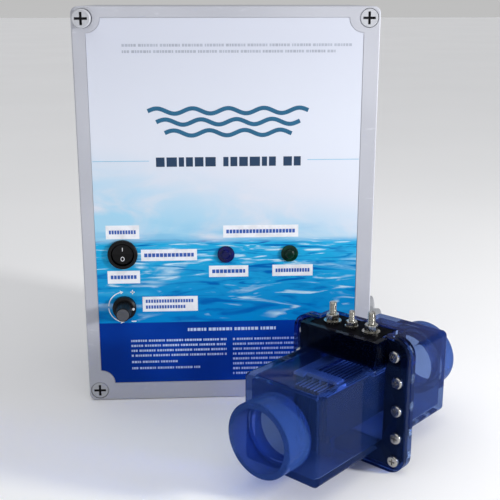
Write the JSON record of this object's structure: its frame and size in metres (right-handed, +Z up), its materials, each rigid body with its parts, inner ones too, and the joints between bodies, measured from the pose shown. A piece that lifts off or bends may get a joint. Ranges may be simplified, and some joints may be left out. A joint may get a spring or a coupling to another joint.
{
  "type": "salt chlorine generator",
  "caption": "Salt chlorine generator: wall control box with rocker switch, output knob and lamps, beside a see-through flow cell with electrode plates.",
  "frame": {"origin": "middle of the control box's bottom face, under the box's centre", "axes": "+Z up, -Y out of the box's front, +Y towards the wall, +X to the right seen from the front"},
  "size_m": [0.2754, 0.3004, 0.3],
  "materials": {
    "case_grey": "fine moulded texture",
    "screw_grey": "smooth moulded",
    "label_print": "printed film",
    "black_plastic": "satin moulded",
    "cap_grey": "satin moulded",
    "white_print": "paint fill",
    "seal_rubber": "soft",
    "lens_blue": "polished",
    "lens_green": "polished",
    "led_clear": "polished",
    "gland_grey": "smooth moulded",
    "board_green": "solder mask",
    "zinc_steel": "zinc plated",
    "relay_black": "moulded",
    "capacitor_sleeve": "shrink sleeve",
    "terminal_green": "moulded",
    "contact_brass": "tinned",
    "fuse_glass": "clear",
    "sink_aluminium": "extruded",
    "core_steel": "varnished laminations",
    "bobbin_plastic": "moulded",
    "winding_copper": "enamelled wire",
    "winding_tape": "insulating tape",
    "cell_blue": "clear tinted",
    "head_black": "cast resin",
    "stainless": "bright stainless",
    "coated_titanium": "oxide coated",
    "comb_plastic": "moulded"
  },
  "bodies": {
    "root": {"board_screws": "zinc_steel", "board_standoffs": "zinc_steel", "bridge_rectifier": "black_plastic", "capacitors": "capacitor_sleeve", "cell_front_half": "cell_blue", "cell_gasket": "seal_rubber", "cell_rear_half": "cell_blue", "collector_strips": "coated_titanium", "control_board": "board_green", "electrode_head": "head_black", "electrode_plates_a": "coated_titanium", "electrode_plates_b": "coated_titanium", "enclosure_base": "case_grey", "enclosure_gasket": "seal_rubber", "flange_nuts": "stainless", "flange_screws": "stainless", "fuse_clips": "contact_brass", "gland_bodies": "gland_grey", "gland_locknuts": "gland_grey", "gland_nuts": "gland_grey", "gland_seals": "seal_rubber", "glass_fuse": "fuse_glass", "heat_sink": "sink_aluminium", "plate_combs": "comb_plastic", "polarity_relays": "relay_black", "rectifier_screw": "zinc_steel", "sensor_stud": "stainless", "terminal_blocks": "terminal_green", "terminal_nuts": "stainless", "terminal_studs": "stainless", "terminal_washers": "stainless", "transformer_bobbin": "bobbin_plastic", "transformer_bolts": "zinc_steel", "transformer_core": "core_steel", "transformer_feet": "zinc_steel", "transformer_primary": "winding_copper", "transformer_secondary": "winding_tape"},
    "lid": {"enclosure_lid": "case_grey", "front_label": "label_print", "screw_seal_rings": "seal_rubber", "rocker_housing": "black_plastic", "rocker_terminals": "contact_brass", "potentiometer_body": "zinc_steel", "potentiometer_nut": "zinc_steel", "lamp_lens_blue": "lens_blue", "lamp_lens_green": "lens_green", "lamp_bodies": "black_plastic", "lamp_leds": "led_clear", "lamp_nuts": "black_plastic"},
    "screw_tl_ring": {"screw_seal_ring_top_left": "seal_rubber"},
    "screw_tl": {"lid_screw_top_left": "screw_grey"},
    "screw_tr": {"lid_screw_top_right": "screw_grey"},
    "screw_bl": {"lid_screw_bottom_left": "screw_grey"},
    "screw_br": {"lid_screw_bottom_right": "screw_grey"},
    "rocker": {"rocker_paddle": "black_plastic"},
    "rocker_lever": {"rocker_contact": "contact_brass"},
    "knob": {"knob": "black_plastic", "knob_cap": "cap_grey", "knob_pointer": "white_print", "potentiometer_shaft": "zinc_steel"}
  },
  "joints": [
    {"name": "lid_slide", "type": "slide", "parent": "root", "child": "lid", "axis": [0, -1, 0], "range_m": [0, 0.016]},
    {"name": "screw_tl_press", "type": "slide", "parent": "lid", "child": "screw_tl_ring", "axis": [0, 1, 0], "range_m": [0, 0.009]},
    {"name": "rocker_tilt", "type": "hinge", "parent": "lid", "child": "rocker", "pos_m": [-0.08, -0.0582, 0.119], "axis": [1, 0, 0], "range_deg": [0, 20]},
    {"name": "knob_turn", "type": "hinge", "parent": "lid", "child": "knob", "pos_m": [-0.08, -0.06, 0.077], "axis": [0, 1, 0], "range_deg": [-240, 60]},
    {"name": "screw_tl_turn", "type": "hinge", "parent": "screw_tl_ring", "child": "screw_tl", "pos_m": [-0.1018, -0.05, 0.2918], "axis": [0, 1, 0], "range_deg": [0, 90]},
    {"name": "screw_tr_turn", "type": "hinge", "parent": "lid", "child": "screw_tr", "pos_m": [0.1018, -0.05, 0.2918], "axis": [0, 1, 0], "range_deg": [-90, 0]},
    {"name": "screw_bl_turn", "type": "hinge", "parent": "lid", "child": "screw_bl", "pos_m": [-0.1018, -0.05, 0.0082], "axis": [0, 1, 0], "range_deg": [-90, 0]},
    {"name": "screw_br_turn", "type": "hinge", "parent": "lid", "child": "screw_br", "pos_m": [0.1018, -0.05, 0.0082], "axis": [0, 1, 0], "range_deg": [-90, 0]},
    {"name": "lever_tilt", "type": "hinge", "parent": "lid", "child": "rocker_lever", "pos_m": [-0.08, -0.0485, 0.119], "axis": [1, 0, 0], "range_deg": [-12, 0]}
  ],
  "couplings": [
    {"joint": "lever_tilt", "follows": "rocker_tilt", "ratio": -0.6}
  ]
}
